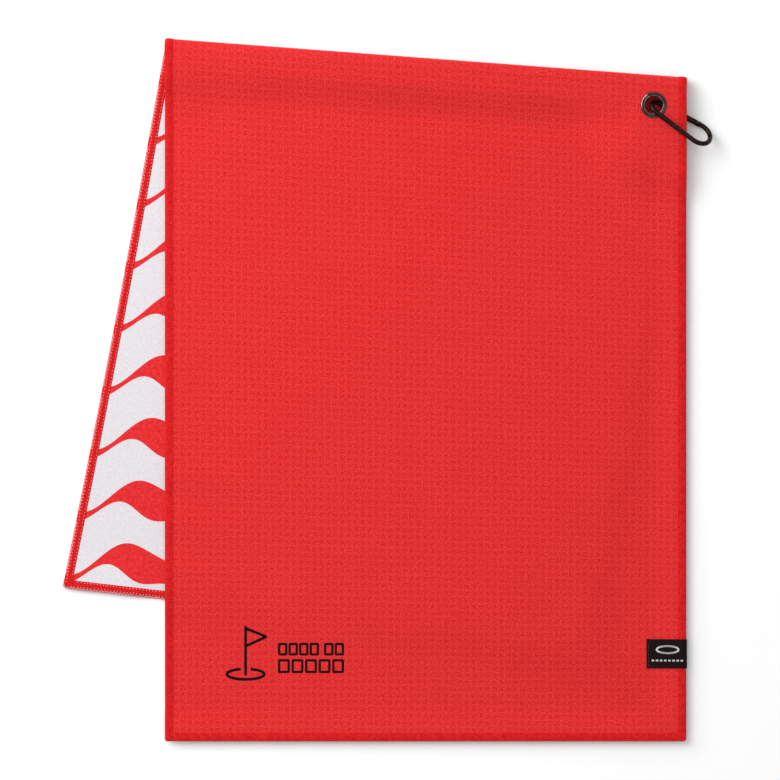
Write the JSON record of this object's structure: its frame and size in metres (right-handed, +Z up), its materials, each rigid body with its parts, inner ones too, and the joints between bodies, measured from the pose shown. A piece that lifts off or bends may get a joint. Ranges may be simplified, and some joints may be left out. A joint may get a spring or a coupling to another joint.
{
  "type": "golf towel",
  "caption": "Waffle-weave golf towel folded once and laid flat, with bound edges, a grommet beside the fold and a small spring-gate carabiner through it.",
  "frame": {"origin": "bottom centre of the whole object's box, on the surface it lies on", "axes": "+X to the right along the front panel's bottom edge, +Y up its side edges towards the fold, +Z up off the surface"},
  "size_m": [0.4748, 0.5138, 0.0181],
  "materials": {
    "towel_cloth": "matte waffle-weave microfibre, red front, white reverse with red waves",
    "binding": "overlocked polyester yarn, slight sheen",
    "label_tape": "matte woven tape",
    "label_thread": "sewing thread",
    "black_nickel": "polished black nickel",
    "clip_black": "gloss black coating",
    "rivet_steel": "blackened steel",
    "spring_steel": "bright drawn wire"
  },
  "bodies": {
    "back": {"back_panel": "towel_cloth", "back_left_hem": "binding", "back_right_hem": "binding", "back_end_hem": "binding", "fold_bend": "towel_cloth", "fold_left_hem": "binding", "fold_right_hem": "binding"},
    "front": {"front_panel": "towel_cloth", "front_left_hem": "binding", "front_left_hem_rise": "binding", "front_right_hem": "binding", "front_right_hem_rise": "binding", "front_bottom_hem": "binding", "grommet_flange": "black_nickel", "grommet_washer": "black_nickel", "woven_label": "label_tape", "label_stitching": "label_thread"},
    "clip": {"carabiner_body": "clip_black", "gate_hinge_pin": "rivet_steel"},
    "gate": {"carabiner_gate": "clip_black", "gate_latch_pin": "rivet_steel", "gate_spring": "spring_steel", "gate_plunger": "spring_steel"}
  },
  "joints": [
    {"name": "fold_hinge", "type": "hinge", "parent": "back", "child": "front", "pos_m": [-0.1626, 0.2506, 0.0063], "axis": [-0.9972, 0.0746, 0], "range_deg": [0, 165], "deforming": ["fold_bend", "fold_left_hem", "fold_right_hem"]},
    {"name": "clip_swing", "type": "hinge", "parent": "front", "child": "clip", "pos_m": [0.1943, 0.20752, 0.0115], "axis": [0, 0, 1], "range_deg": [-10, 20]},
    {"name": "gate_pivot", "type": "hinge", "parent": "clip", "child": "gate", "pos_m": [0.20781, 0.20422, 0.00641], "axis": [-0.4029, -0.5819, -0.7064], "range_deg": [0, 18], "stiffness_Nm_per_rad": 0.02, "springref_deg": -17.19}
  ]
}
